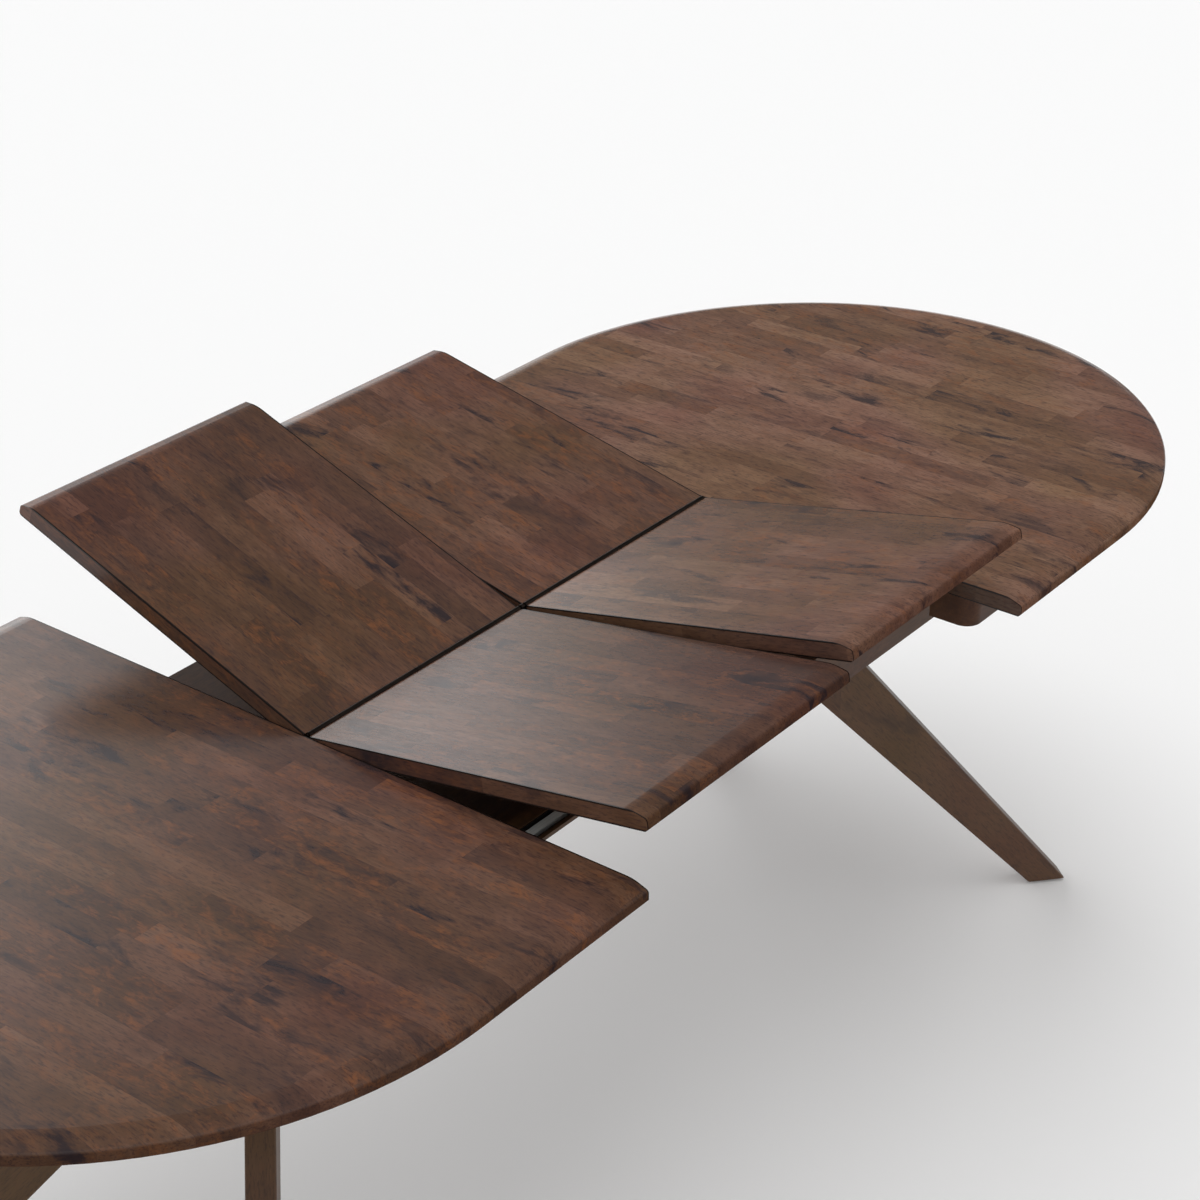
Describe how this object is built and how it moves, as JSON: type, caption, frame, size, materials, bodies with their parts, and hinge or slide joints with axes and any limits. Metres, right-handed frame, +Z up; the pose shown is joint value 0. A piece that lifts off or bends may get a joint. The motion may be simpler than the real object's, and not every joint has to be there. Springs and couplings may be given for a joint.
{
  "type": "butterfly leaf extension dining table",
  "caption": "Oval wooden dining table pulled open on slide runners, with folding butterfly leaves half raised over a leaf tray, on splayed flat board legs.",
  "frame": {"origin": "on the floor under the middle of the opening between the two half tops", "axes": "+X along the pull-out direction to the far half top, +Y across to the back, +Z up"},
  "size_m": [2.356, 0.96, 0.8832],
  "materials": {
    "top_wood": "satin",
    "leaf_wood": "satin",
    "runner_wood": "satin",
    "frame_wood": "satin",
    "tray_wood": "satin",
    "leg_wood": "satin",
    "black_channel": "satin",
    "bar_steel": "zinc plated",
    "hinge_steel": "dull",
    "glide_plastic": "matte"
  },
  "bodies": {
    "base": {"far_back_leg": "leg_wood", "far_back_web": "leg_wood", "far_front_leg": "leg_wood", "far_front_rail": "frame_wood", "far_front_web": "leg_wood", "far_inner_beam": "frame_wood", "far_outer_beam": "frame_wood", "far_saddle": "frame_wood", "foot_glides": "glide_plastic", "hinge_posts": "hinge_steel", "hinge_rod": "hinge_steel", "leaf_tray": "tray_wood", "near_back_leg": "leg_wood", "near_back_rail": "frame_wood", "near_back_web": "leg_wood", "near_front_leg": "leg_wood", "near_front_web": "leg_wood", "near_inner_beam": "frame_wood", "near_outer_beam": "frame_wood", "near_saddle": "frame_wood", "spine_beam": "frame_wood"},
    "near_top": {"near_back_cleat": "frame_wood", "near_back_plain_runner": "runner_wood", "near_end_batten": "frame_wood", "near_front_cleat": "frame_wood", "near_front_slide_runner": "runner_wood", "near_half_top": "top_wood", "near_slide_bar": "bar_steel", "near_slide_channel": "black_channel", "near_slide_lath": "runner_wood"},
    "far_top": {"far_back_cleat": "frame_wood", "far_back_slide_runner": "runner_wood", "far_end_batten": "frame_wood", "far_front_cleat": "frame_wood", "far_front_plain_runner": "runner_wood", "far_half_top": "top_wood", "far_slide_bar": "bar_steel", "far_slide_channel": "black_channel", "far_slide_lath": "runner_wood"},
    "near_back_leaf": {"near_back_hinge": "hinge_steel", "near_back_wing": "leaf_wood"},
    "near_front_leaf": {"near_front_hinge": "hinge_steel", "near_front_wing": "leaf_wood"},
    "far_back_leaf": {"far_back_hinge": "hinge_steel", "far_back_wing": "leaf_wood"},
    "far_front_leaf": {"far_front_hinge": "hinge_steel", "far_front_wing": "leaf_wood"}
  },
  "joints": [
    {"name": "near_top_slide", "type": "slide", "parent": "base", "child": "near_top", "axis": [-1, 0, 0], "range_m": [0, 0.03]},
    {"name": "far_top_slide", "type": "slide", "parent": "base", "child": "far_top", "axis": [1, 0, 0], "range_m": [0, 0.03]},
    {"name": "near_back_leaf_hinge", "type": "hinge", "parent": "base", "child": "near_back_leaf", "pos_m": [0, 0, 0.729], "axis": [1, 0, 0], "range_deg": [-19.6, 68.4]},
    {"name": "far_back_leaf_hinge", "type": "hinge", "parent": "base", "child": "far_back_leaf", "pos_m": [0, 0, 0.729], "axis": [1, 0, 0], "range_deg": [-11.7, 76.3]},
    {"name": "near_front_leaf_hinge", "type": "hinge", "parent": "base", "child": "near_front_leaf", "pos_m": [0, 0, 0.729], "axis": [-1, 0, 0], "range_deg": [-10.1, 77.9]},
    {"name": "far_front_leaf_hinge", "type": "hinge", "parent": "base", "child": "far_front_leaf", "pos_m": [0, 0, 0.729], "axis": [-1, 0, 0], "range_deg": [-12.7, 75.3]}
  ]
}
